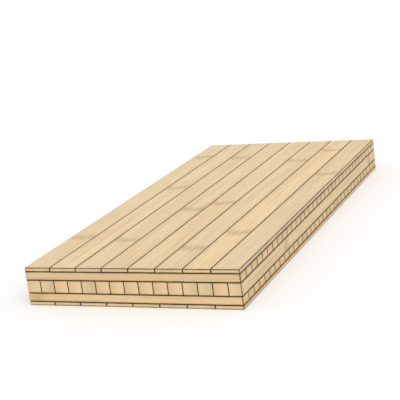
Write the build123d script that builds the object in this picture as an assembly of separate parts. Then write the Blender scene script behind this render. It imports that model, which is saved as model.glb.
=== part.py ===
from build123d import *

import math
import os

# A cross-laminated bamboo panel of five layers, lying flat on its underside.
#
# The panel is pressed from planed bamboo strips. Each layer is a row of strips laid side by side:
#
#     top face      wide thin strips, laid flat, along the panel
#     upper cross   strips across the panel
#     core          deep strips, along the panel
#     lower cross   strips across the panel
#     bottom face   wide thin strips, laid flat, along the panel
#
# Strips meet face to face. The pressed panel is trimmed to size, so the last strip of a row is
# narrower where the width isn't a whole number of strips. Every strip edge that shows on the
# outside is eased a little, so that each joint is a fine V on the faces, the ends and the sides.
#
# Millimetres. X runs across the panel, Y along it and Z up. The origin is the centre of the
# underside.

# The trimmed panel
panel_width = 220.0
panel_length = 488.0

# How thick each layer is: the balanced lay-up has the same pair above and below the core
face_thickness = 4.0
cross_thickness = 8.5
core_thickness = 13.0

# How wide a full strip is in each layer
face_strip_width = 27.5
cross_strip_width = 14.8
core_strip_width = 14.8

# A remainder no wider than this is left on the last strip of its row
trimming_tolerance = 0.5

# How far each outer edge is eased: two eased edges side by side make the V of a joint
arris = 0.5

# The underside of each layer, from the floor up
bottom_face_level = 0.0
lower_cross_level = bottom_face_level + face_thickness
core_level = lower_cross_level + cross_thickness
upper_cross_level = core_level + core_thickness
top_face_level = upper_cross_level + cross_thickness
panel_thickness = top_face_level + face_thickness


def row_of_strips(span, strip_width):
    """The (middle, width) of each strip in a row that fills span, centred on zero.

    The last strip takes up what is left. Where that is under half a strip, the last two share it.
    """
    count = max(1, math.ceil((span - trimming_tolerance) / strip_width))
    widths = [strip_width] * (count - 1)
    widths.append(span - sum(widths))
    if count > 1 and widths[-1] < strip_width / 2:
        widths[-2:] = [sum(widths[-2:]) / 2] * 2
    row = []
    edge = -span / 2
    for width in widths:
        row.append((edge + width / 2, width))
        edge += width
    return row


def shows_outside(edge):
    """True for a strip's edge that lies in one of the panel's six outer faces."""
    middle = edge.center()
    return (
        math.isclose(abs(middle.X), panel_width / 2)
        or math.isclose(abs(middle.Y), panel_length / 2)
        or math.isclose(abs(middle.Z - panel_thickness / 2), panel_thickness / 2)
    )


def planed_strip(section_plane, width, thickness, length):
    """A straight strip whose section is drawn at the middle of its length, with its outer edges eased."""
    section = section_plane * Rectangle(width, thickness)
    strip = extrude(section, length / 2, both=True)
    return chamfer(strip.edges().filter_by(shows_outside), arris)


def strips_along(level, thickness, strip_width):
    """A layer of strips that run along the panel."""
    strips = []
    for middle, width in row_of_strips(panel_width, strip_width):
        section_plane = Plane((middle, 0, level + thickness / 2), x_dir=(1, 0, 0), z_dir=(0, 1, 0))
        strips.append(planed_strip(section_plane, width, thickness, panel_length))
    return strips


def strips_across(level, thickness, strip_width):
    """A layer of strips that run across the panel."""
    strips = []
    for middle, width in row_of_strips(panel_length, strip_width):
        section_plane = Plane((0, middle, level + thickness / 2), x_dir=(0, 1, 0), z_dir=(1, 0, 0))
        strips.append(planed_strip(section_plane, width, thickness, panel_width))
    return strips


def face_layer(level):
    """Flat strips, wide and thin, that show on the top or on the underside."""
    return strips_along(level, face_thickness, face_strip_width)


def cross_layer(level):
    """Strips across the panel, which keep it from cupping."""
    return strips_across(level, cross_thickness, cross_strip_width)


def core_layer():
    """The deep strips in the middle of the panel."""
    return strips_along(core_level, core_thickness, core_strip_width)


def numbered(name, strips):
    """One node for each strip, numbered from the panel's left side."""
    return {f"{name}_{number:02d}": strip for number, strip in enumerate(strips, start=1)}


def panel_nodes():
    """Every node of the panel, as a shape for each name."""
    return {
        **numbered("top_face_strip", face_layer(top_face_level)),
        "upper_cross_strips": Compound(children=cross_layer(upper_cross_level)),
        **numbered("core_strip", core_layer()),
        "lower_cross_strips": Compound(children=cross_layer(lower_cross_level)),
        **numbered("bottom_face_strip", face_layer(bottom_face_level)),
    }


def write_parts():
    """Writes one STEP file for each node."""
    os.makedirs("parts", exist_ok=True)
    for name, shape in panel_nodes().items():
        export_step(shape, f"parts/{name}.step")


write_parts()
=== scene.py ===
import math
from collections import namedtuple

import bmesh
import bpy
from bpy.props import FloatProperty, FloatVectorProperty, PointerProperty
from mathutils import Matrix, Vector


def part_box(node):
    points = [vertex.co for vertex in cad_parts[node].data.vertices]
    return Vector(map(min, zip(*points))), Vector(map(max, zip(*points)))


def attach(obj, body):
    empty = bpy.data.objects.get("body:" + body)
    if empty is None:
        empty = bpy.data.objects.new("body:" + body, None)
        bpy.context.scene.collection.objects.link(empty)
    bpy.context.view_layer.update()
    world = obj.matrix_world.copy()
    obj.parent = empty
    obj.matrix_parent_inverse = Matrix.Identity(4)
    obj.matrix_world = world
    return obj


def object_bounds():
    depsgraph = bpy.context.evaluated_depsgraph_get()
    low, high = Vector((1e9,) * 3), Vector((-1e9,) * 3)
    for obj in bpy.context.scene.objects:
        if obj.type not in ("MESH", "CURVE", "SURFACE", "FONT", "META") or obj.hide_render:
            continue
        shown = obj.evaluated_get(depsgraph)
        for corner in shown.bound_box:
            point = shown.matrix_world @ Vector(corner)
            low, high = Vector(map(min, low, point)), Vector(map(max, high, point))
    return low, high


bl_info = {
    "name": "Bamboo panel finish",
    "version": (1, 0, 0),
    "blender": (4, 5, 0),
    "location": "3D View > Sidebar > Bamboo panel",
    "description": "Bamboo strips, glue lines and a plain studio for a cross-laminated panel",
    "category": "Material",
}

# The panel's strips are the frame's nodes, and they only get their finish here. What is added is
# the glue that stands in the V of each joint. Metres, with X across the panel, Y along it and Z up.
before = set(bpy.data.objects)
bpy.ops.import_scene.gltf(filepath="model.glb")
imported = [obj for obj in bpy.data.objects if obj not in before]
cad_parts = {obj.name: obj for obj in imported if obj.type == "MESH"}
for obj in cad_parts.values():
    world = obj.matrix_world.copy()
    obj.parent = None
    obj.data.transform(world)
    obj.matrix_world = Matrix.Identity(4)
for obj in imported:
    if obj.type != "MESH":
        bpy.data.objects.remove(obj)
panel_low, panel_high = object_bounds()
panel_middle = (panel_low + panel_high) / 2

ONE_MM = 0.001
X, Y, Z = range(3)
WHITE = (1.0, 1.0, 1.0)

# A node of each layer, from the underside up
LAYERS = (
    "bottom_face_strip_01",
    "lower_cross_strips",
    "core_strip_01",
    "upper_cross_strips",
    "top_face_strip_01",
)

# How near to a plane a corner has to be to lie on it
ON_PLANE = 0.01 * ONE_MM


def width_of(node):
    low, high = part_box(node)
    return high.x - low.x


def eased_edge():
    """How far the outer edges of the strips are eased, read from a strip at the panel's corner."""
    low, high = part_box("top_face_strip_01")
    corners = [corner.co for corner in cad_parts["top_face_strip_01"].data.vertices]
    return high.z - max(corner.z for corner in corners if corner.x - low.x < ON_PLANE)


EASED_EDGE = eased_edge()

# A row of strips: the axis that they run along, the axis that they lie side by side across, a node
# of their layer and the width of a full strip. Cross strips are as wide as core strips.
Row = namedtuple("Row", "along across layer strip_width")
FACE_ROW = Row(Y, X, "top_face_strip_01", width_of("top_face_strip_01"))
CROSS_ROW = Row(X, Y, "upper_cross_strips", width_of("core_strip_01"))
CORE_ROW = Row(Y, X, "core_strip_01", width_of("core_strip_01"))

# A last strip narrower than this share of a full one is no strip of its own
SLIVER = 0.01

# Added to the number of a strip above the middle, so that two rows of a kind don't look the same
ROW_SEED = 44.0

# How far apart in the stem two strips may be cut, in metres
GRAIN_SHIFT = 3.0

# A core strip stands the other way round where chance gives it more than this
TURNED_ABOVE = 0.5

# How much fine detail lies in the noise of the fibres, in that of clouds and patches, and elsewhere
FIBRE_DETAIL = 3.0
PATCH_DETAIL = 2.0
PLAIN_DETAIL = 1.0

# The value that noise lies about
NOISE_MIDDLE = 0.5

# Where in the noise a fibre streak starts and is full, and likewise a fleck, and a cloud or patch
FIBRE_EDGES = (0.46, 0.72)
FLECK_EDGES = (0.6, 0.74)
PATCH_EDGES = (0.3, 0.7)

# Size of the patches that make a node's line, a stain and the glue uneven
SCAR_PATCH = 6.0 * ONE_MM
STAIN_PATCH = 11.0 * ONE_MM
GLUE_PATCH = 9.0 * ONE_MM

# Where a node's band begins to fade, as a share of its half width
BAND_CORE = 0.2

# How far a node's line wanders along the strip
WANDER_REACH = 22.0 * ONE_MM

# Over what width of the strip it wanders so far
WANDER_WIDTH = 16.0 * ONE_MM

# Radius of a fibre end inside the stem and at its skin, as a share of the spacing there
BUNDLE_INSIDE = 0.23
BUNDLE_AT_SKIN = 0.4

# How much of that radius is fully dark
BUNDLE_CORE = 0.5

# Spacing of the fibre ends at the skin, as a share of their spacing inside
SKIN_SPACING = 0.55

# Where the fibre ends begin to be those of the skin and where all are, from inside, 0, to skin, 1
SKIN_ZONE = (0.3, 0.9)

# How strong a stain still is in its weakest patches
STAIN_WEAKEST = 0.55

# A face lies square to an axis where that part of its normal is over the second value, and slants
# where all parts are under the first
SQUARE_NORMAL = (0.8, 0.95)

# A face points along an axis, either way, where that part of its normal is over this
POINTS_ALONG = 0.6

# Roughness of planed bamboo beside a fibre streak and in it
PLANED_ROUGHNESS = (0.5, 0.64)

# Roughness of a sawn cut
CUT_ROUGHNESS = 0.76

# Roughness of the glue where it is thick and where it is thin
GLUE_ROUGHNESS = (0.8, 0.95)

# How strongly a surface shines
BAMBOO_SHINE = 0.35
GLUE_SHINE = 0.1

# How many times paler the glue is where it is thin
THIN_GLUE = 1.5

# How strong and how deep the bump of the fibres is
GRAIN_STRENGTH = 0.35
GRAIN_DEPTH = 0.06 * ONE_MM

# Corners of a glue ring are one where they lie nearer than this share of its half width
MERGE_SHARE = 0.1

# A paint's steps from black to white, and the curve that turns them into light
COLOUR_STEPS = 255
CURVE_OFFSET = 0.055
CURVE_POWER = 2.4


def srgb(red, green, blue):
    """The linear colour of a paint given in steps from 0 to 255."""
    shares = (steps / COLOUR_STEPS for steps in (red, green, blue))
    return tuple(((share + CURVE_OFFSET) / (1 + CURVE_OFFSET)) ** CURVE_POWER for share in shares)


def colour_property(name, description, default):
    return FloatVectorProperty(
        name=name, description=description, default=default, size=3, min=0.0, max=1.0, subtype="COLOR"
    )


def length_property(name, description, millimetres):
    return FloatProperty(
        name=name, description=description, default=millimetres * ONE_MM, min=0.0, unit="LENGTH"
    )


def share_property(name, description, default):
    return FloatProperty(
        name=name, description=description, default=default, min=0.0, max=1.0, subtype="FACTOR"
    )


def angle_property(name, description, degrees):
    return FloatProperty(
        name=name, description=description, default=math.radians(degrees), subtype="ANGLE"
    )


class BambooLook(bpy.types.PropertyGroup):
    """Colours of the bamboo and the size of its grain."""

    face_colour: colour_property("Face strips", "Ground colour of the flat strips", srgb(239, 215, 172))
    cross_colour: colour_property("Cross strips", "Ground colour of the cross strips", srgb(236, 209, 164))
    core_colour: colour_property("Core strips", "Ground colour of the deep strips", srgb(238, 212, 168))
    warm_colour: colour_property("Warm strips", "Colour that some strips lean to", srgb(226, 185, 130))
    fibre_colour: colour_property("Fibres", "Colour of the long fibre streaks", srgb(191, 148, 94))
    node_colour: colour_property("Nodes", "Colour where the stem had a node", srgb(156, 112, 66))
    bundle_colour: colour_property("Fibre ends", "Colour of the fibre ends on a cut", srgb(142, 101, 60))
    stain_colour: colour_property("Stain", "Colour where glue soaked in along a joint", srgb(112, 79, 47))
    # Painted shade: this dark colour on the slanting faces darkens the V grooves between strips, and also the
    # panel's outer edges
    edge_and_groove_shade_colour: colour_property("Eased edges", "Colour along the eased edges", srgb(80, 56, 34))
    fibre_width: length_property("Fibre width", "How wide a streak is", 0.9)
    fibre_length: length_property("Fibre length", "How long a streak is", 75.0)
    fleck_width: length_property("Fleck width", "How wide a fine dark fleck is", 0.45)
    fleck_length: length_property("Fleck length", "How long a fine dark fleck is", 11.0)
    cloud_width: length_property("Cloud width", "How wide a soft change of tone is", 9.0)
    cloud_length: length_property("Cloud length", "How long a soft change of tone is", 220.0)
    node_spacing: length_property("Node spacing", "From one node of a strip to the next", 330.0)
    node_band: length_property("Node band", "Half the width of the band at a node", 12.0)
    node_scar: length_property("Node scar", "Half the width of the line in the band", 2.2)
    bundle_spacing: length_property("Fibre end spacing", "From one fibre end to the next on a cut", 1.6)
    stain_reach: length_property("Stain reach", "How far a stain goes into a strip's face", 1.3)
    tone_share: share_property("Tone", "How much lighter or darker a strip may be", 0.1)
    warm_share: share_property("Warmth", "How far a strip may lean to the warm colour", 0.36)
    cloud_share: share_property("Clouds", "How strong the soft changes of tone are", 0.2)
    fibre_share: share_property("Streaks", "How strong the fibre streaks are", 0.4)
    fleck_share: share_property("Flecks", "How strong the fine flecks are", 0.3)
    band_share: share_property("Bands", "How strong the band at a node is", 0.26)
    scar_share: share_property("Scars", "How strong the line in a band is", 0.36)
    skin_share: share_property("Skin side", "How much darker a cut is at the stem's skin", 0.14)
    bundle_share: share_property("Ends", "How strong the fibre ends are", 0.5)
    stain_share: share_property("Stains", "How strong a stain is along outer edges and joints", 0.66)
    core_stain_share: share_property("Core stains", "How strong it is between the core strips", 0.1)
    # How much of that painted shade the slanting faces get
    edge_and_groove_shade_share: share_property("Edges", "How strong the eased edges are", 0.9)


class GlueLook(bpy.types.PropertyGroup):
    """The glue that stands in the joints."""

    glue_colour: colour_property("Glue", "Colour of the set glue", srgb(36, 25, 16))
    layer_glue_depth: length_property("Layer glue depth", "From the outside to the glue between layers", 0.03)
    strip_glue_depth: length_property("Strip glue depth", "From the outside to the glue between strips", 0.06)


class StudioLook(bpy.types.PropertyGroup):
    """The floor, the light and the camera."""

    floor_colour: colour_property("Floor", "Colour that the floor casts back up", srgb(236, 236, 236))
    floor_size: length_property("Floor size", "Width of the floor", 16000.0)
    sky_strength: FloatProperty(name="Sky", description="Light from all round", default=0.7, min=0.0)
    sun_strength: FloatProperty(name="Sun", description="Light from the lamp", default=1.25, min=0.0)
    sun_spread: angle_property("Sun spread", "Width of the lamp in the sky", 50.0)
    sun_place: FloatVectorProperty(
        name="Sun place", description="Which way the lamp lies", default=(0.4, -0.6, 0.85), size=3,
        subtype="DIRECTION",
    )
    camera_place: FloatVectorProperty(
        name="Camera place", description="Where the camera stands", default=(0.4732, -1.1204, 0.3525), size=3,
        subtype="TRANSLATION",
    )
    camera_turn: angle_property("Camera turn", "To the left of the panel's length", 24.1)
    camera_tilt: angle_property("Camera tilt", "Down from level", 14.62)
    camera_roll: angle_property("Camera roll", "About its own line of sight", -7.46)
    camera_lens: FloatProperty(
        name="Camera lens", description="Focal length in millimetres", default=102.3, min=1.0, unit="CAMERA"
    )


# Small helpers for shader nodes


def new_material(name):
    """A material with its node tree and its shader's inputs."""
    material = bpy.data.materials.new(name)
    material.use_nodes = True
    tree = material.node_tree
    return material, tree, tree.nodes["Principled BSDF"].inputs


def feed(tree, socket, source):
    """Links a source that is a socket, and writes any other value on the socket itself."""
    if isinstance(source, bpy.types.NodeSocket):
        tree.links.new(source, socket)
    else:
        socket.default_value = source


def calculate(tree, operation, *values):
    node = tree.nodes.new("ShaderNodeMath")
    node.operation = operation
    for socket, value in zip(node.inputs, values):
        feed(tree, socket, value)
    return node.outputs["Value"]


def calculate_vector(tree, operation, *values):
    node = tree.nodes.new("ShaderNodeVectorMath")
    node.operation = operation
    for socket, value in zip(node.inputs, values):
        feed(tree, socket, value)
    return node.outputs["Vector"]


def combine(tree, *parts):
    node = tree.nodes.new("ShaderNodeCombineXYZ")
    for socket, value in zip(node.inputs, parts):
        feed(tree, socket, value)
    return node.outputs["Vector"]


def separate(tree, vector):
    node = tree.nodes.new("ShaderNodeSeparateXYZ")
    feed(tree, node.inputs["Vector"], vector)
    return node.outputs["X"], node.outputs["Y"], node.outputs["Z"]


def ramp(tree, value, low, high, low_result=0.0, high_result=1.0):
    """A smooth step from one result to the other while the value goes from low to high."""
    node = tree.nodes.new("ShaderNodeMapRange")
    node.interpolation_type = "SMOOTHSTEP"
    names = ("Value", "From Min", "From Max", "To Min", "To Max")
    for name, source in zip(names, (value, low, high, low_result, high_result)):
        feed(tree, node.inputs[name], source)
    return node.outputs["Result"]


def blend(tree, mask, first, second):
    """The first value where the mask is 0 and the second where it is 1."""
    node = tree.nodes.new("ShaderNodeMix")
    for name, source in zip(("Factor", "A", "B"), (mask, first, second)):
        feed(tree, node.inputs[name], source)
    return node.outputs["Result"]


def mix_colour(tree, mask, first, second):
    """The first colour where the mask is 0 and the second where it is 1."""
    node = tree.nodes.new("ShaderNodeMix")
    node.data_type = "RGBA"
    colours = [socket for socket in node.inputs if socket.type == "RGBA"]
    feed(tree, node.inputs["Factor"], mask)
    for socket, source in zip(colours, (first, second)):
        feed(tree, socket, source if isinstance(source, bpy.types.NodeSocket) else (*source, 1.0))
    return next(socket for socket in node.outputs if socket.type == "RGBA")


def tint(tree, share, mask, colour, under):
    """Lays a colour over another, as strong as the share of the mask."""
    return mix_colour(tree, calculate(tree, "MULTIPLY", mask, share), under, colour)


def noise(tree, place, size, detail):
    """Noise whose features are as large as the size, which is a length or one for each axis."""
    size = size if isinstance(size, bpy.types.NodeSocket) else (size, size, size)
    node = tree.nodes.new("ShaderNodeTexNoise")
    feed(tree, node.inputs["Vector"], calculate_vector(tree, "DIVIDE", place, size))
    node.inputs["Scale"].default_value = 1.0
    node.inputs["Detail"].default_value = detail
    return node.outputs["Fac"]


def coordinates(tree, output):
    return tree.nodes.new("ShaderNodeTexCoord").outputs[output]


def new_group(name, inputs, outputs):
    """A new shader group, with the values given to it and the results that it puts out."""
    group = bpy.data.node_groups.new(name, "ShaderNodeTree")
    for socket_name, kind in inputs.items():
        group.interface.new_socket(socket_name, in_out="INPUT", socket_type=f"NodeSocket{kind}")
    for socket_name in outputs:
        group.interface.new_socket(socket_name, in_out="OUTPUT", socket_type="NodeSocketFloat")
    return group, group.nodes.new("NodeGroupInput").outputs, group.nodes.new("NodeGroupOutput").inputs


# Effects that the strips share


def make_long_grain(name):
    """Fibre streaks, fine flecks and soft clouds of tone, drawn out along a strip."""
    sizes = {"Fibre size": "Vector", "Fleck size": "Vector", "Cloud size": "Vector"}
    group, given, result = new_group(name, {"Place": "Vector", **sizes}, ["Fibres", "Flecks", "Clouds"])
    fibres = noise(group, given["Place"], given["Fibre size"], FIBRE_DETAIL)
    flecks = noise(group, given["Place"], given["Fleck size"], PLAIN_DETAIL)
    clouds = noise(group, given["Place"], given["Cloud size"], PATCH_DETAIL)
    feed(group, result["Fibres"], ramp(group, fibres, *FIBRE_EDGES))
    feed(group, result["Flecks"], ramp(group, flecks, *FLECK_EDGES))
    feed(group, result["Clouds"], ramp(group, clouds, *PATCH_EDGES))
    return group


def distance_from_node(group, place, spacing):
    """How far a point lies along a strip from the nearest node, whose line wanders a little."""
    along, across, up = separate(group, place)
    wander = noise(group, combine(group, 0.0, across, up), WANDER_WIDTH, PLAIN_DETAIL)
    either_way = calculate(group, "SUBTRACT", wander, NOISE_MIDDLE)
    shifted = calculate(group, "ADD", along, calculate(group, "MULTIPLY", either_way, WANDER_REACH))
    return calculate(group, "PINGPONG", shifted, calculate(group, "DIVIDE", spacing, 2.0))


def make_stem_nodes(name):
    """The soft band across a strip where the stem had a node, and the broken line in it."""
    lengths = {"Spacing": "Float", "Band": "Float", "Scar": "Float"}
    group, given, result = new_group(name, {"Place": "Vector", **lengths}, ["Band", "Scar"])
    from_node = distance_from_node(group, given["Place"], given["Spacing"])
    band_core = calculate(group, "MULTIPLY", given["Band"], BAND_CORE)
    line = ramp(group, from_node, 0.0, given["Scar"], 1.0, 0.0)
    patches = ramp(group, noise(group, given["Place"], SCAR_PATCH, PLAIN_DETAIL), *PATCH_EDGES)
    feed(group, result["Band"], ramp(group, from_node, band_core, given["Band"], 1.0, 0.0))
    feed(group, result["Scar"], calculate(group, "MULTIPLY", line, patches))
    return group


def bundle_dots(group, cut, spacing, radius):
    """Dots that stand a spacing apart on a cut. Their radius is a share of the spacing."""
    cells = group.nodes.new("ShaderNodeTexVoronoi")
    cells.voronoi_dimensions = "2D"
    cells.inputs["Scale"].default_value = 1.0
    in_spacings = calculate_vector(group, "DIVIDE", cut, combine(group, spacing, spacing, spacing))
    feed(group, cells.inputs["Vector"], in_spacings)
    return ramp(group, cells.outputs["Distance"], radius * BUNDLE_CORE, radius, 1.0, 0.0)


def make_end_grain(name):
    """The cut ends of the fibre bundles, small and close at the stem's skin, scattered inside it."""
    values = {"Place": "Vector", "Spacing": "Float", "Skin": "Float"}
    group, given, result = new_group(name, values, ["Bundles"])
    _, across, up = separate(group, given["Place"])
    cut = combine(group, across, up)
    close = calculate(group, "MULTIPLY", given["Spacing"], SKIN_SPACING)
    inside = bundle_dots(group, cut, given["Spacing"], BUNDLE_INSIDE)
    at_skin = bundle_dots(group, cut, close, BUNDLE_AT_SKIN)
    feed(group, result["Bundles"], blend(group, ramp(group, given["Skin"], *SKIN_ZONE), inside, at_skin))
    return group


def make_eased_edge_shade(name):
    """Marks the slanting faces, which are the eased edges of the strips. Their dark colour is painted shade
    in the V grooves of the joints, and a plain darker edge round the panel's outside.
    """
    group, given, result = new_group(name, {"Normal": "Vector"}, ["Edge"])
    x, y, z = separate(group, calculate_vector(group, "ABSOLUTE", given["Normal"]))
    largest = calculate(group, "MAXIMUM", x, calculate(group, "MAXIMUM", y, z))
    feed(group, result["Edge"], ramp(group, largest, *SQUARE_NORMAL, 1.0, 0.0))
    return group


def make_edge_stain(name):
    """The soft dark line that a face of a strip has along its edges, with a share for each axis.

    The distance and the normal are given along, across and up the strip. A face isn't stained for
    lying on its own plane, so an axis counts only where the face isn't square to it.
    """
    vectors = {"Place": "Vector", "Distance": "Vector", "Normal": "Vector", "Share": "Vector"}
    group, given, result = new_group(name, {**vectors, "Start": "Float", "Reach": "Float"}, ["Stain"])
    end = calculate(group, "ADD", given["Start"], given["Reach"])
    stain = 0.0
    axes = zip(*(separate(group, given[part]) for part in ("Distance", "Normal", "Share")))
    for distance, normal, share in axes:
        beside = ramp(group, distance, given["Start"], end, share, 0.0)
        not_square = ramp(group, calculate(group, "ABSOLUTE", normal), *SQUARE_NORMAL, 1.0, 0.0)
        stain = calculate(group, "MAXIMUM", calculate(group, "MULTIPLY", beside, not_square), stain)
    uneven = noise(group, given["Place"], STAIN_PATCH, PATCH_DETAIL)
    patches = ramp(group, uneven, *PATCH_EDGES, STAIN_WEAKEST)
    feed(group, result["Stain"], calculate(group, "MULTIPLY", stain, patches))
    return group


EFFECTS = {
    "Long grain": make_long_grain,
    "Stem nodes": make_stem_nodes,
    "End grain": make_end_grain,
    "Eased edge": make_eased_edge_shade,
    "Edge stain": make_edge_stain,
}


def place_effect(tree, name, **values):
    """Places a shared effect in a material, with its own values, and gives its outputs."""
    node = tree.nodes.new("ShaderNodeGroup")
    node.node_tree = bpy.data.node_groups.get(name) or EFFECTS[name](name)
    for socket_name, value in values.items():
        feed(tree, node.inputs[socket_name.replace("_", " ").capitalize()], value)
    return node.outputs


# Bamboo


def has_twin(row):
    """True for a row above the core, which has one like it below."""
    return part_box(row.layer)[0].z > panel_middle.z


def in_strip_order(tree, row, vector):
    """A vector's parts along, across and up a strip."""
    parts = separate(tree, vector)
    return combine(tree, parts[row.along], parts[row.across], parts[Z])


def strip_number(tree, row):
    """A strip's number in its row, and how far across it the point lies, from 0 to 1."""
    _, across, up = separate(tree, in_strip_order(tree, row, coordinates(tree, "Object")))
    start = panel_low[row.across]
    last = math.ceil((panel_high[row.across] - start) / row.strip_width - SLIVER) - 1
    in_row = calculate(tree, "DIVIDE", calculate(tree, "SUBTRACT", across, start), row.strip_width)
    number = calculate(tree, "MINIMUM", calculate(tree, "FLOOR", in_row), last)
    number = calculate(tree, "MAXIMUM", number, 0.0)
    part = calculate(tree, "SUBTRACT", in_row, number)
    if has_twin(row):
        upper = calculate(tree, "GREATER_THAN", up, panel_middle.z)
        number = calculate(tree, "ADD", number, calculate(tree, "MULTIPLY", upper, ROW_SEED))
    return number, part


def chance_of(tree, number):
    """A colour and a value that chance gives to each strip."""
    node = tree.nodes.new("ShaderNodeTexWhiteNoise")
    node.noise_dimensions = "1D"
    feed(tree, node.inputs["W"], number)
    return node.outputs["Color"], node.outputs["Value"]


def place_in_grain(tree, row, chance_colour):
    """A point's place in its strip, each strip cut from another part of the stem."""
    shift = calculate_vector(tree, "MULTIPLY", chance_colour, (GRAIN_SHIFT, GRAIN_SHIFT, GRAIN_SHIFT))
    return calculate_vector(tree, "ADD", in_strip_order(tree, row, coordinates(tree, "Object")), shift)


def layer_levels(row):
    """The levels of a row's lower and upper face above the panel's middle."""
    low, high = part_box(row.layer)
    return low.z - panel_middle.z, high.z - panel_middle.z


def skin_side(tree, row, part, chance):
    """0 at a strip's side from inside the stem, and 1 at its side from the skin.

    Flat strips lie skin side out. Those of the core stand on edge, either way round.
    """
    if not has_twin(row):
        turned = calculate(tree, "GREATER_THAN", chance, TURNED_ABOVE)
        return calculate(tree, "ABSOLUTE", calculate(tree, "SUBTRACT", turned, part))
    inner, outer = layer_levels(row)
    _, _, z = separate(tree, coordinates(tree, "Object"))
    from_middle = calculate(tree, "ABSOLUTE", calculate(tree, "SUBTRACT", z, panel_middle.z))
    return calculate(tree, "DIVIDE", calculate(tree, "SUBTRACT", from_middle, inner), outer - inner)


def depth_in_strip(tree, row, part):
    """How far a point lies inside its strip's ends, its sides, and its upper and lower faces."""
    from_middle = calculate_vector(tree, "SUBTRACT", coordinates(tree, "Object"), tuple(panel_middle))
    along, across, up = separate(tree, in_strip_order(tree, row, from_middle))
    half_panel = (panel_high - panel_low) / 2
    to_end = calculate(tree, "SUBTRACT", half_panel[row.along], calculate(tree, "ABSOLUTE", along))

    # The last strip of a row may be narrower than a full one, and ends at the panel's side
    to_joint = calculate(tree, "MINIMUM", part, calculate(tree, "SUBTRACT", 1.0, part))
    to_joint = calculate(tree, "MULTIPLY", to_joint, row.strip_width)
    to_last_side = calculate(tree, "SUBTRACT", half_panel[row.across], across)
    to_side = calculate(tree, "MINIMUM", to_joint, to_last_side)

    # A row and its twin lie evenly about the panel's middle, and so does the core
    inner, outer = layer_levels(row)
    level = calculate(tree, "ABSOLUTE", up)
    to_inner = calculate(tree, "SUBTRACT", level, inner)
    to_face = calculate(tree, "MINIMUM", to_inner, calculate(tree, "SUBTRACT", outer, level))
    return combine(tree, to_end, to_side, to_face)


def strip_tone(tree, ground, look, chance_colour, chance):
    """A strip's own colour: lighter or darker than the ground, and more or less warm."""
    light = tuple(min(1.0, part * (1 + look.tone_share)) for part in ground)
    dark = tuple(part * (1 - look.tone_share) for part in ground)
    warmth, _, _ = separate(tree, chance_colour)
    return tint(tree, look.warm_share, warmth, look.warm_colour, mix_colour(tree, chance, dark, light))


def long_side_colour(tree, look, tone, grain, stem):
    """A strip's tone with its clouds, fibre streaks, flecks and nodes."""
    colour = tint(tree, look.cloud_share, grain["Clouds"], look.fibre_colour, tone)
    colour = tint(tree, look.fibre_share, grain["Fibres"], look.fibre_colour, colour)
    colour = tint(tree, look.fleck_share, grain["Flecks"], look.node_colour, colour)
    colour = tint(tree, look.band_share, stem["Band"], look.node_colour, colour)
    return tint(tree, look.scar_share, stem["Scar"], look.node_colour, colour)


def cut_end_colour(tree, look, tone, skin, bundles):
    """A strip's tone, darker towards the stem's skin, with the fibre ends in it."""
    colour = tint(tree, look.skin_share, skin, look.fibre_colour, tone)
    return tint(tree, look.bundle_share, bundles, look.bundle_colour, colour)


def hollowed_normal(tree, hollows):
    """The normal of a surface that lies a little lower where the hollows are."""
    bump = tree.nodes.new("ShaderNodeBump")
    bump.inputs["Strength"].default_value = GRAIN_STRENGTH
    bump.inputs["Distance"].default_value = GRAIN_DEPTH
    feed(tree, bump.inputs["Height"], calculate(tree, "SUBTRACT", 1.0, hollows))
    return bump.outputs["Normal"]


def bamboo_material(name, ground, row, joint_stain, look):
    """Bamboo with grain along its strips, fibre ends on the cuts, stains along the joints and painted shade
    on the eased edges.
    """
    material, tree, shader = new_material(name)
    number, part = strip_number(tree, row)
    chance_colour, chance = chance_of(tree, number)
    place = place_in_grain(tree, row, chance_colour)
    normal = in_strip_order(tree, row, coordinates(tree, "Normal"))
    skin = skin_side(tree, row, part, chance)
    grain = place_effect(
        tree, "Long grain", place=place,
        fibre_size=(look.fibre_length, look.fibre_width, look.fibre_width),
        fleck_size=(look.fleck_length, look.fleck_width, look.fleck_width),
        cloud_size=(look.cloud_length, look.cloud_width, look.cloud_width),
    )
    stem = place_effect(
        tree, "Stem nodes", place=place, spacing=look.node_spacing, band=look.node_band, scar=look.node_scar
    )
    bundles = place_effect(
        tree, "End grain", place=place, spacing=look.bundle_spacing, skin=skin
    )["Bundles"]
    # The slanting faces, whose V grooves at the joints get painted shade
    edge = place_effect(tree, "Eased edge", normal=normal)["Edge"]
    stain = place_effect(
        tree, "Edge stain", place=place, distance=depth_in_strip(tree, row, part), normal=normal,
        share=(look.stain_share, joint_stain, look.stain_share), start=EASED_EDGE, reach=look.stain_reach,
    )["Stain"]
    along, _, _ = separate(tree, calculate_vector(tree, "ABSOLUTE", normal))
    cut = calculate(tree, "GREATER_THAN", along, POINTS_ALONG)

    tone = strip_tone(tree, ground, look, chance_colour, chance)
    long_side = long_side_colour(tree, look, tone, grain, stem)
    colour = mix_colour(tree, cut, long_side, cut_end_colour(tree, look, tone, skin, bundles))
    colour = mix_colour(tree, stain, colour, look.stain_colour)
    # Painted shade: the slanting faces turn dark, in the V grooves between strips and along the panel's outer
    # edges
    feed(tree, shader["Base Color"], tint(tree, look.edge_and_groove_shade_share, edge, look.edge_and_groove_shade_colour, colour))

    planed = ramp(tree, grain["Fibres"], 0.0, 1.0, *PLANED_ROUGHNESS)
    feed(tree, shader["Roughness"], blend(tree, cut, planed, CUT_ROUGHNESS))
    shader["Specular IOR Level"].default_value = BAMBOO_SHINE
    hollows = blend(tree, cut, grain["Fibres"], bundles)
    feed(tree, shader["Normal"], hollowed_normal(tree, hollows))
    return material


def nodes_named(start):
    """The frame's nodes whose names start so, in order."""
    found = [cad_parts[name] for name in sorted(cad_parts) if name.startswith(start)]
    if not found:
        raise RuntimeError(f"the frame has no node whose name starts with {start}")
    return found


def dress(strips, material):
    for strip in strips:
        strip.data.materials.clear()
        strip.data.materials.append(material)


# Glue


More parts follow.
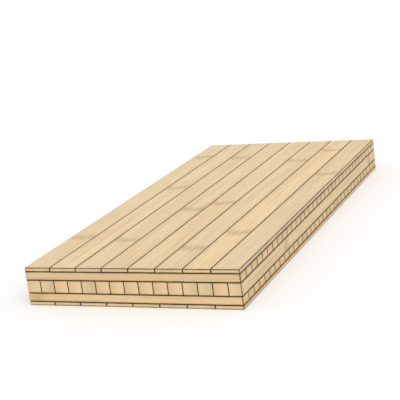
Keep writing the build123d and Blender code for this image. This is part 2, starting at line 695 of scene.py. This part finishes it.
def glue_material(look):
    """Set glue: dark brown, a little uneven and dull."""
    material, tree, shader = new_material("set_glue")
    uneven = noise(tree, coordinates(tree, "Object"), GLUE_PATCH, PATCH_DETAIL)
    patches = ramp(tree, uneven, *PATCH_EDGES)
    thin = tuple(part * THIN_GLUE for part in look.glue_colour)
    feed(tree, shader["Base Color"], mix_colour(tree, patches, look.glue_colour, thin))
    feed(tree, shader["Roughness"], ramp(tree, patches, 0.0, 1.0, *GLUE_ROUGHNESS))
    shader["Specular IOR Level"].default_value = GLUE_SHINE
    return material


def finish_glue(bm, name, look):
    """Turns a bmesh of glue into a piece that rides with the panel."""
    bmesh.ops.recalc_face_normals(bm, faces=bm.faces)
    mesh = bpy.data.meshes.new(name)
    bm.to_mesh(mesh)
    bm.free()
    mesh.materials.append(bpy.data.materials.get("set_glue") or glue_material(look))
    piece = bpy.data.objects.new(name, mesh)
    bpy.context.scene.collection.objects.link(piece)
    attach(piece, "root")


def heights_of(node):
    low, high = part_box(node)
    return low.z, high.z


def joints_along(start):
    """The X of each joint between neighbouring strips that run along the panel."""
    return [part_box(strip.name)[1].x for strip in nodes_named(start)[:-1]]


def joints_across():
    """The Y of each joint between cross strips."""
    count = math.ceil((panel_high.y - panel_low.y) / CROSS_ROW.strip_width - SLIVER)
    return [panel_low.y + number * CROSS_ROW.strip_width for number in range(1, count)]


def glue_bar(bm, start, end, outward, half_width):
    """Glue in a V joint, along the foot of the V from start to end.

    Its flat outside is cut back at both ends, where the V runs out into another eased edge.
    """
    run = end - start
    rise = outward * half_width
    side = run.cross(outward).normalized() * half_width
    cut_back = run.normalized() * half_width
    corners = (start, start + rise + side + cut_back, start + rise - side + cut_back)
    section = bm.faces.new([bm.verts.new(corner) for corner in corners])
    made = bmesh.ops.extrude_face_region(bm, geom=[section])["geom"]
    far_end = [part for part in made if isinstance(part, bmesh.types.BMVert)]
    bmesh.ops.translate(bm, vec=run, verts=far_end)
    halfway_out = half_width / 2
    outside = [vert for vert in far_end if (vert.co - end).dot(outward) > halfway_out]
    bmesh.ops.translate(bm, vec=-2 * cut_back, verts=outside)


def level_glue(bm, joints, level, way, depth):
    """Glue in the long joints of the top, where way is 1, or of the underside, where it is -1."""
    for x in joints:
        start = Vector((x, panel_low.y + depth, level - way * EASED_EDGE))
        end = Vector((x, panel_high.y - depth, level - way * EASED_EDGE))
        glue_bar(bm, start, end, Vector((0.0, 0.0, way)), EASED_EDGE - depth)


def upright_glue(bm, axis, joints, heights, depth):
    """Glue in the joints that show on the panel's two ends, for the Y axis, or its two sides, for X."""
    low, high = heights
    for joint in joints:
        for way, outside in ((-1.0, panel_low), (1.0, panel_high)):
            # The joint gives the place on the other axis
            foot = Vector((joint, joint, low + depth))
            foot[axis] = outside[axis] - way * EASED_EDGE
            head = foot.copy()
            head.z = high - depth
            outward = Vector()
            outward[axis] = way
            glue_bar(bm, foot, head, outward, EASED_EDGE - depth)


def place_of(part):
    """Where the corners of a face or an edge lie, or a corner itself, as something to sort by."""
    corners = [part] if isinstance(part, bmesh.types.BMVert) else part.verts
    return sorted(corner.co.to_tuple() for corner in corners)


def put_in_order(bm):
    """Orders the corners, edges and faces by place, because a bevel leaves their order to chance."""
    for parts in (bm.verts, bm.edges, bm.faces):
        for number, part in enumerate(sorted(parts, key=place_of)):
            part.index = number
        parts.sort()


def glue_ring(bm, level, depth):
    """Glue all round the panel at a joint between two layers."""
    half_width = EASED_EDGE - depth
    size = panel_high - panel_low
    made = bmesh.ops.create_cube(bm, size=1.0)["verts"]
    bmesh.ops.scale(bm, vec=(size.x - 2 * depth, size.y - 2 * depth, 2 * half_width), verts=made)
    bmesh.ops.translate(bm, vec=(panel_middle.x, panel_middle.y, level), verts=made)
    corners = [edge for edge in bm.edges if abs(edge.verts[0].co.z - edge.verts[1].co.z) > half_width]
    bmesh.ops.bevel(
        bm, geom=corners, offset=EASED_EDGE, affect="EDGES", segments=1, profile=0.5, material=-1
    )

    # Both caps are set in and sunk until they meet halfway up, which leaves a ring of three sides
    bm.normal_update()
    caps = [face for face in bm.faces if abs(face.normal.z) > POINTS_ALONG]
    bmesh.ops.inset_individual(
        bm, faces=caps, thickness=half_width, depth=-half_width, use_even_offset=True
    )
    bmesh.ops.delete(bm, geom=caps, context="FACES")
    bmesh.ops.remove_doubles(bm, verts=bm.verts, dist=half_width * MERGE_SHARE)
    put_in_order(bm)


def add_face_glue(name, start, way, look):
    """The glue of a face layer: its long joints, and where they come out on both ends."""
    depth = look.strip_glue_depth
    low, high = heights_of(f"{start}_01")
    outside_level = high if way > 0 else low
    bm = bmesh.new()
    level_glue(bm, joints_along(start), outside_level, way, depth)
    upright_glue(bm, Y, joints_along(start), (low, high), depth)
    finish_glue(bm, name, look)


# Operators


class FinishFaceStrips(bpy.types.Operator):
    """Finish the flat strips of the top and the underside"""

    bl_idname = "bamboo_panel.finish_face_strips"
    bl_label = "Finish face strips"

    def execute(self, context):
        look = context.scene.bamboo_look
        material = bamboo_material("face_strip_bamboo", look.face_colour, FACE_ROW, look.stain_share, look)
        dress(nodes_named("top_face_strip") + nodes_named("bottom_face_strip"), material)
        return {"FINISHED"}


class FinishCrossStrips(bpy.types.Operator):
    """Finish the strips that run across the panel"""

    bl_idname = "bamboo_panel.finish_cross_strips"
    bl_label = "Finish cross strips"

    def execute(self, context):
        look = context.scene.bamboo_look
        material = bamboo_material("cross_strip_bamboo", look.cross_colour, CROSS_ROW, look.stain_share, look)
        dress(nodes_named("upper_cross_strips") + nodes_named("lower_cross_strips"), material)
        return {"FINISHED"}


class FinishCoreStrips(bpy.types.Operator):
    """Finish the deep strips in the middle of the panel"""

    bl_idname = "bamboo_panel.finish_core_strips"
    bl_label = "Finish core strips"

    def execute(self, context):
        look = context.scene.bamboo_look
        joint_stain = look.core_stain_share
        material = bamboo_material("core_strip_bamboo", look.core_colour, CORE_ROW, joint_stain, look)
        dress(nodes_named("core_strip"), material)
        return {"FINISHED"}


class AddLayerGlue(bpy.types.Operator):
    """Add the glue that shows all round the panel between its layers"""

    bl_idname = "bamboo_panel.add_layer_glue"
    bl_label = "Add layer glue"

    def execute(self, context):
        look = context.scene.glue_look
        for number, lower_layer in enumerate(LAYERS[:-1], start=1):
            bm = bmesh.new()
            glue_ring(bm, heights_of(lower_layer)[1], look.layer_glue_depth)
            finish_glue(bm, f"layer_glue_{number}", look)
        return {"FINISHED"}


class AddFaceGlue(bpy.types.Operator):
    """Add the glue between the flat strips of the top and the underside"""

    bl_idname = "bamboo_panel.add_face_glue"
    bl_label = "Add face glue"

    def execute(self, context):
        look = context.scene.glue_look
        add_face_glue("top_face_glue", "top_face_strip", 1.0, look)
        add_face_glue("bottom_face_glue", "bottom_face_strip", -1.0, look)
        return {"FINISHED"}


class AddCrossGlue(bpy.types.Operator):
    """Add the glue that shows between the cross strips on both sides"""

    bl_idname = "bamboo_panel.add_cross_glue"
    bl_label = "Add cross glue"

    def execute(self, context):
        look = context.scene.glue_look
        for row in ("upper_cross", "lower_cross"):
            bm = bmesh.new()
            upright_glue(bm, X, joints_across(), heights_of(f"{row}_strips"), look.strip_glue_depth)
            finish_glue(bm, f"{row}_glue", look)
        return {"FINISHED"}


class AddCoreGlue(bpy.types.Operator):
    """Add the glue that shows between the core strips on both ends"""

    bl_idname = "bamboo_panel.add_core_glue"
    bl_label = "Add core glue"

    def execute(self, context):
        look = context.scene.glue_look
        bm = bmesh.new()
        upright_glue(bm, Y, joints_along("core_strip"), heights_of("core_strip_01"), look.strip_glue_depth)
        finish_glue(bm, "core_glue", look)
        return {"FINISHED"}


# The studio


def seen_directly(tree):
    """1 for what the camera sees, also in a reflection or through glass, and 0 for other light."""
    path = tree.nodes.new("ShaderNodeLightPath").outputs
    seen = calculate(tree, "ADD", path["Is Camera Ray"], path["Is Glossy Ray"])
    return calculate(tree, "MINIMUM", calculate(tree, "ADD", seen, path["Is Transmission Ray"]), 1.0)


def floor_material(look):
    """A dull floor that is seen as white and casts back its own colour."""
    material, tree, shader = new_material("floor")
    shader["Roughness"].default_value = 1.0
    shader["Specular IOR Level"].default_value = 0.0
    feed(tree, shader["Base Color"], mix_colour(tree, seen_directly(tree), look.floor_colour, WHITE))
    return material


def make_floor(look):
    bm = bmesh.new()
    bmesh.ops.create_grid(bm, x_segments=1, y_segments=1, size=look.floor_size / 2)
    bmesh.ops.translate(bm, vec=(0.0, 0.0, panel_low.z), verts=bm.verts)
    mesh = bpy.data.meshes.new("floor")
    bm.to_mesh(mesh)
    bm.free()
    mesh.materials.append(floor_material(look))
    floor = bpy.data.objects.new("floor", mesh)
    bpy.context.scene.collection.objects.link(floor)


def make_sky(look):
    """A white sky, whose light on the panel is as strong as the look says."""
    world = bpy.data.worlds.new("sky")
    world.use_nodes = True
    tree = world.node_tree
    background = tree.nodes["Background"].inputs
    background["Color"].default_value = (*WHITE, 1.0)
    feed(tree, background["Strength"], blend(tree, seen_directly(tree), look.sky_strength, 1.0))
    bpy.context.scene.world = world


def make_sun(look):
    lamp = bpy.data.lights.new("sun", "SUN")
    lamp.energy = look.sun_strength
    lamp.angle = look.sun_spread
    sun = bpy.data.objects.new("sun", lamp)
    sun.rotation_mode = "QUATERNION"
    sun.rotation_quaternion = Vector(look.sun_place).to_track_quat("Z", "Y")
    bpy.context.scene.collection.objects.link(sun)


def make_camera(look):
    """The camera, turned from looking along the panel, then tilted down and rolled."""
    lens = bpy.data.cameras.new("camera")
    lens.lens = look.camera_lens
    camera = bpy.data.objects.new("camera", lens)
    camera.matrix_world = (
        Matrix.Translation(look.camera_place)
        @ Matrix.Rotation(look.camera_turn, 4, "Z")
        @ Matrix.Rotation(math.pi / 2 - look.camera_tilt, 4, "X")
        @ Matrix.Rotation(look.camera_roll, 4, "Z")
    )
    bpy.context.scene.collection.objects.link(camera)
    bpy.context.scene.camera = camera


class SetStudio(bpy.types.Operator):
    """Set the floor, the light and the camera"""

    bl_idname = "bamboo_panel.set_studio"
    bl_label = "Set studio"

    def execute(self, context):
        look = context.scene.studio_look
        make_floor(look)
        make_sky(look)
        make_sun(look)
        make_camera(look)
        context.scene.view_settings.view_transform = "Standard"
        return {"FINISHED"}


STEPS = (
    FinishFaceStrips,
    FinishCrossStrips,
    FinishCoreStrips,
    AddLayerGlue,
    AddFaceGlue,
    AddCrossGlue,
    AddCoreGlue,
    SetStudio,
)
LOOKS = {"bamboo_look": BambooLook, "glue_look": GlueLook, "studio_look": StudioLook}


class BambooPanelSidebar(bpy.types.Panel):
    """List the steps that finish the panel, and their sizes and colours"""

    bl_idname = "VIEW3D_PT_bamboo_panel"
    bl_label = "Bamboo panel"
    bl_space_type = "VIEW_3D"
    bl_region_type = "UI"
    bl_category = "Bamboo panel"

    def draw(self, context):
        for step in STEPS:
            self.layout.operator(step.bl_idname)
        for look_name, kind in LOOKS.items():
            for name in kind.__annotations__:
                self.layout.prop(getattr(context.scene, look_name), name)


CLASSES = (*LOOKS.values(), *STEPS, BambooPanelSidebar)


def register():
    for kind in CLASSES:
        bpy.utils.register_class(kind)
    for name, kind in LOOKS.items():
        setattr(bpy.types.Scene, name, PointerProperty(type=kind))


def unregister():
    for name in LOOKS:
        delattr(bpy.types.Scene, name)
    for kind in reversed(CLASSES):
        bpy.utils.unregister_class(kind)


def main():
    """Finishes the panel."""
    register()
    bpy.ops.bamboo_panel.finish_face_strips()
    bpy.ops.bamboo_panel.finish_cross_strips()
    bpy.ops.bamboo_panel.finish_core_strips()
    bpy.ops.bamboo_panel.add_layer_glue()
    bpy.ops.bamboo_panel.add_face_glue()
    bpy.ops.bamboo_panel.add_cross_glue()
    bpy.ops.bamboo_panel.add_core_glue()
    bpy.ops.bamboo_panel.set_studio()


if __name__ == "__main__":
    main()
